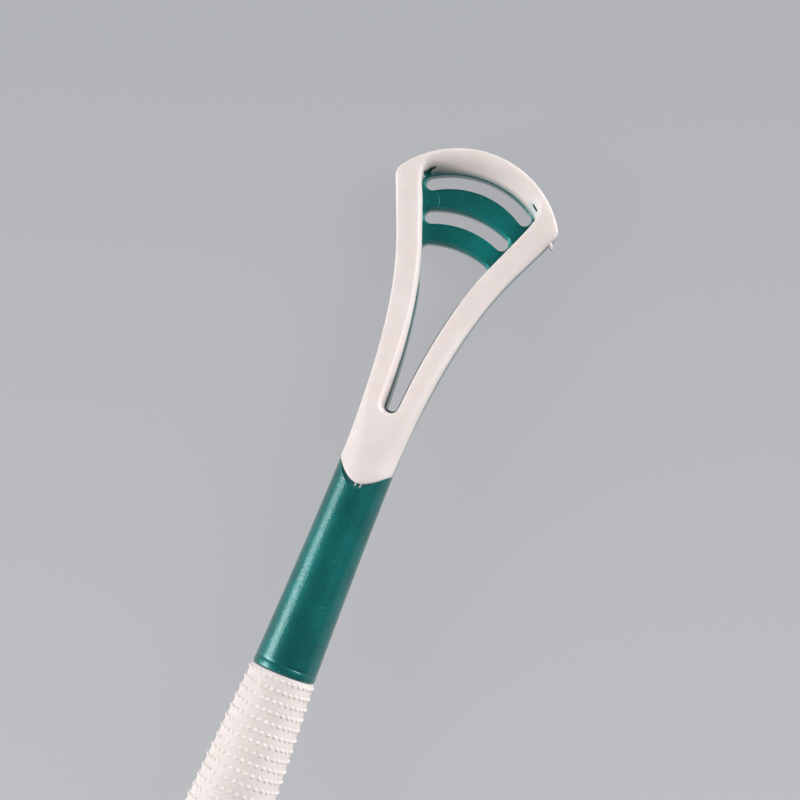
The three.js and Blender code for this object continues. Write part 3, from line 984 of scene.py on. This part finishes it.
rows = int((nub_field_length - nub_top_margin) / nub_pitch) + 1
nubs = None
for row in range(rows):
    depth = nub_top_margin + row * nub_pitch
    base = grip_radius_at(depth)
    loft("nubs", [nub_ring(radius, h, depth, base) for radius, h in nub_profile])
    bpy.ops.object.mode_set(mode="EDIT")
    bpy.ops.mesh.select_all(action="SELECT")
    bpy.ops.mesh.spin(
        steps=nub_columns,
        angle=2 * math.pi,
        dupli=True,
        center=in_frame(0, 0, 0),
        axis=(0, 1, 0),
    )
    bpy.ops.mesh.select_all(action="SELECT")
    bpy.ops.mesh.remove_doubles(threshold=merge_distance)
    bpy.ops.mesh.normals_make_consistent(inside=False)
    bpy.ops.object.mode_set(mode="OBJECT")
    if nubs:
        nubs.select_set(True)
        bpy.context.view_layer.objects.active = nubs
        bpy.ops.object.join()
    nubs = bpy.context.object
apply_boolean(grip, nubs, "UNION")
finish_edges(grip)

grip.data.materials.clear()
grip.data.materials.append(soft_white)
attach(grip, "root")
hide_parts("grip")


# Floor: a plain pale grey paper sheet under the tool, far larger than the picture. The camera and
# reflections see mostly its even shade, with a painted fall-off of light that makes it a little darker
# beyond the tip. The remaining share is lit and keeps the shadow.
floor_size = 6
# Way and distances of the floor's painted fall-off of light.
painted_falloff_way = (-0.38, 0.92, 0)
painted_falloff_from = -0.06
painted_falloff_to = 0.12
paper_evenness = 0.86
bpy.ops.object.select_all(action="DESELECT")
bpy.ops.mesh.primitive_plane_add(size=floor_size, location=(0, 0, 0))
floor = bpy.context.object
floor.name = "floor"
paper = new_material("grey_paper")
rays = add_node(paper, "ShaderNodeLightPath")
paper_diffuse = add_node(paper, "ShaderNodeBsdfDiffuse", {"Color": linear("#b8babc")})
paper_place = add_node(paper, "ShaderNodeTexCoord")
paper_run = add_node(paper, "ShaderNodeVectorMath", {
    0: paper_place.outputs["Object"], 1: painted_falloff_way}, operation="DOT_PRODUCT")
paper_share = add_node(paper, "ShaderNodeMapRange", {
    "Value": paper_run.outputs["Value"], "From Min": painted_falloff_from, "From Max": painted_falloff_to})
paper_with_painted_falloff = add_node(paper, "ShaderNodeMix", {
    "Factor": paper_share.outputs["Result"], 6: linear("#c1c2c5"), 7: linear("#b1b3b7")},
    data_type="RGBA")
paper_even = add_node(paper, "ShaderNodeEmission", {"Color": paper_with_painted_falloff.outputs[2]})
mirrored_rays = add_node(paper, "ShaderNodeMath", {
    0: rays.outputs["Is Glossy Ray"], 1: rays.outputs["Is Transmission Ray"]}, operation="MAXIMUM")
seen_rays = add_node(paper, "ShaderNodeMath", {
    0: rays.outputs["Is Camera Ray"], 1: mirrored_rays.outputs["Value"]}, operation="MAXIMUM")
even_share = add_node(paper, "ShaderNodeMapRange", {
    "Value": seen_rays.outputs["Value"], "To Max": paper_evenness})
paper_mix = add_node(paper, "ShaderNodeMixShader", {
    "Fac": even_share.outputs["Result"], 1: paper_diffuse.outputs["BSDF"],
    2: paper_even.outputs["Emission"]})
add_node(paper, "ShaderNodeOutputMaterial", {"Surface": paper_mix.outputs["Shader"]})
floor.data.materials.append(paper)


# Light: a long soft box low on the left, one far beyond the tip on the right, a weak one beyond the butt,
# and a dim even room that looks pale where the camera sees it above the floor.
def soft_box(name, place, aim, width, length, power):
    bpy.ops.object.light_add(type="AREA", location=place)
    lamp = bpy.context.object
    lamp.name = name
    lamp.data.shape = "RECTANGLE"
    lamp.data.size = width
    lamp.data.size_y = length
    lamp.data.energy = power
    lamp.rotation_euler = (Vector(aim) - Vector(place)).to_track_quat("-Z", "Y").to_euler()


soft_box("left_box", (-0.98, -0.45, 0.4), aim=(0, -0.25, 0.01), width=0.9, length=0.57, power=14.8)
soft_box("right_box", (1.8, 1.9, 1.2), aim=(0, 0, 0.01), width=1.8, length=1.8, power=100)
soft_box("front_box", (0.2, -2.2, 1.4), aim=(0, 0, 0.01), width=2, length=2, power=8)
world = bpy.data.worlds.new("pale_room")
bpy.context.scene.world = world
world.use_nodes = True
world.node_tree.nodes.clear()
room_rays = add_node(world, "ShaderNodeLightPath")
room_strength = add_node(world, "ShaderNodeMapRange", {
    "Value": room_rays.outputs["Is Camera Ray"], "To Min": 0.12, "To Max": 0.5})
room = add_node(world, "ShaderNodeBackground", {
    "Color": linear("#e9ecee"), "Strength": room_strength.outputs["Result"]})
add_node(world, "ShaderNodeOutputWorld", {"Surface": room.outputs["Background"]})
bpy.context.scene.view_settings.view_transform = "Standard"


# Camera: it looks straight down on the front, a little from the tool's right, with the tool leaning to
# the right in the picture. The focal length follows from the picture's scale at that distance.
camera_yaw = math.radians(7.4)
camera_roll = math.radians(22.1)
camera_distance = 535
camera_target = Vector((1.12, 37.3, 9.5))
pixels_per_mm = 4.985
picture_pixels = 800
sensor_width = 36

toward = Vector((math.sin(camera_yaw), 0, math.cos(camera_yaw)))
level_right = Vector((0, 1, 0)).cross(toward).normalized()
level_up = toward.cross(level_right)
right = level_right * math.cos(camera_roll) + level_up * math.sin(camera_roll)
up = level_up * math.cos(camera_roll) - level_right * math.sin(camera_roll)
bpy.ops.object.camera_add()
camera = bpy.context.object
camera.data.sensor_width = sensor_width
camera.data.lens = sensor_width * camera_distance * pixels_per_mm / picture_pixels
camera.data.clip_start = 0.01
eye = (camera_target + toward * camera_distance) * mm
camera.matrix_world = Matrix((
    (right.x, up.x, toward.x, eye.x),
    (right.y, up.y, toward.y, eye.y),
    (right.z, up.z, toward.z, eye.z),
    (0, 0, 0, 1),
))
bpy.context.scene.camera = camera
